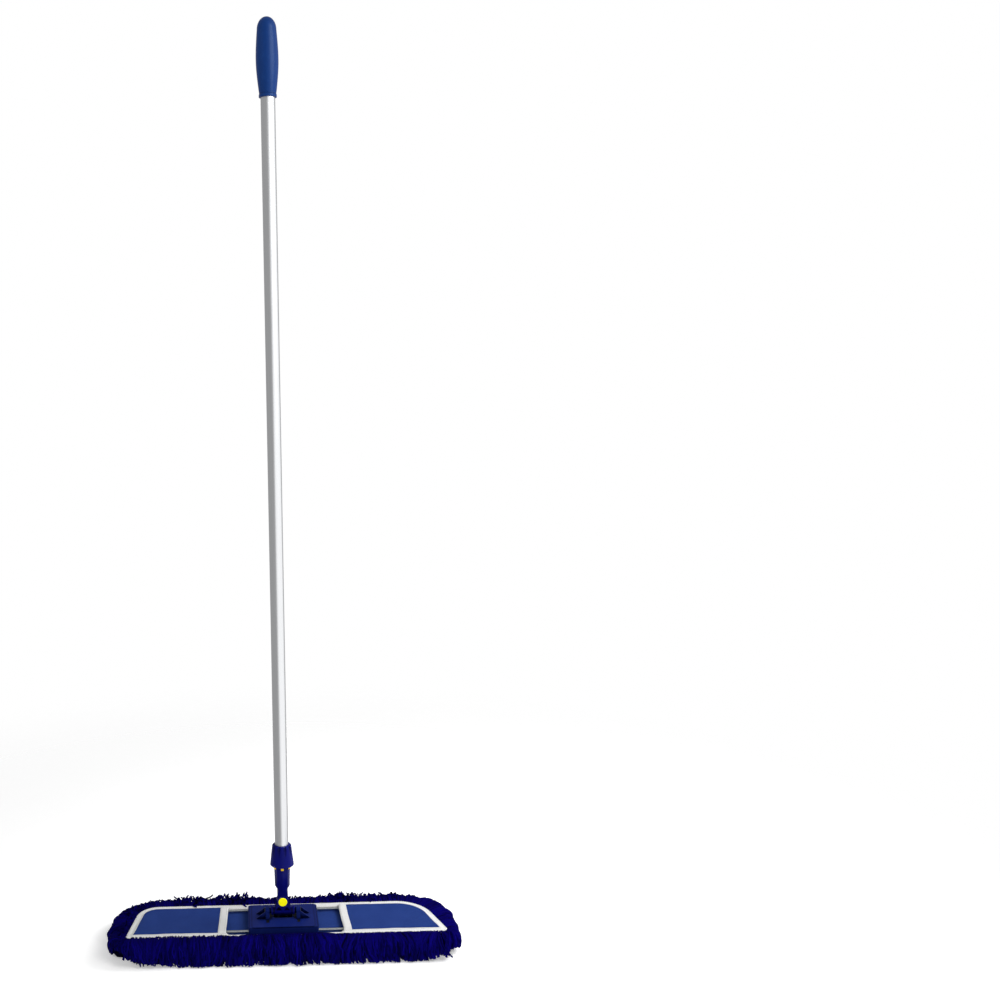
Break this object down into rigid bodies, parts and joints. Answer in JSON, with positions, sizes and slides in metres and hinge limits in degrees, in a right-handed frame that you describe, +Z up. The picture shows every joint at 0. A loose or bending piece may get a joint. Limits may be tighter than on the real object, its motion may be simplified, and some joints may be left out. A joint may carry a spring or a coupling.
{
  "type": "dust mop",
  "caption": "Dust mop with a blue yarn head on a pocketed canvas, a wire frame, a two-way swivel, a twist-lock collar and a tall aluminium handle with a moulded grip.",
  "frame": {"origin": "on the floor, under the middle of the mop head and the handle's axis", "axes": "+X along the head to the right, +Y across the head to the back, +Z up the handle"},
  "size_m": [0.582, 0.1668, 1.4635],
  "materials": {
    "grip_plastic": "satin moulded blue",
    "tube_alloy": "bright drawn, clear anodised",
    "clamp_plastic": "glossy moulded navy",
    "plate_plastic": "satin moulded dark navy",
    "pin_plastic": "glossy moulded yellow",
    "zinc_steel": "zinc plated",
    "canvas": "plain woven",
    "tape": "woven tape",
    "yarn": "twisted yarn"
  },
  "bodies": {
    "head": {"hinge_pin": "zinc_steel", "hinge_push_nut": "zinc_steel", "base_plate": "plate_plastic", "wire_clamp_plate": "zinc_steel", "left_frame_wire": "zinc_steel", "right_frame_wire": "zinc_steel", "backing_canvas": "canvas", "left_pocket": "canvas", "right_pocket": "canvas", "binding_tape": "tape", "left_pocket_tape": "tape", "right_pocket_tape": "tape", "yarn_pile": "yarn", "front_fringe": "yarn", "back_fringe": "yarn", "left_fringe": "yarn", "right_fringe": "yarn"},
    "knuckle": {"swivel_knuckle": "clamp_plastic", "pivot_pin": "pin_plastic", "pivot_pin_cap": "pin_plastic"},
    "socket": {"handle_socket": "clamp_plastic", "clamp_collet": "pin_plastic"},
    "collar": {"locking_collar": "clamp_plastic"},
    "handle": {"handle_tube": "tube_alloy", "handle_grip": "grip_plastic"}
  },
  "joints": [
    {"name": "handle_tilt", "type": "hinge", "parent": "head", "child": "knuckle", "pos_m": [0, 0, 0.0539], "axis": [1, 0, 0], "range_deg": [-80, 80]},
    {"name": "handle_swing", "type": "hinge", "parent": "knuckle", "child": "socket", "pos_m": [0, 0, 0.0725], "axis": [0, 1, 0], "range_deg": [-80, 80]},
    {"name": "collar_twist", "type": "hinge", "parent": "socket", "child": "collar", "pos_m": [0, 0, 0.15], "axis": [0, 0, 1], "range_deg": [0, 180]},
    {"name": "handle_pull", "type": "slide", "parent": "socket", "child": "handle", "axis": [0, 0, 1], "range_m": [0, 0.036]}
  ]
}
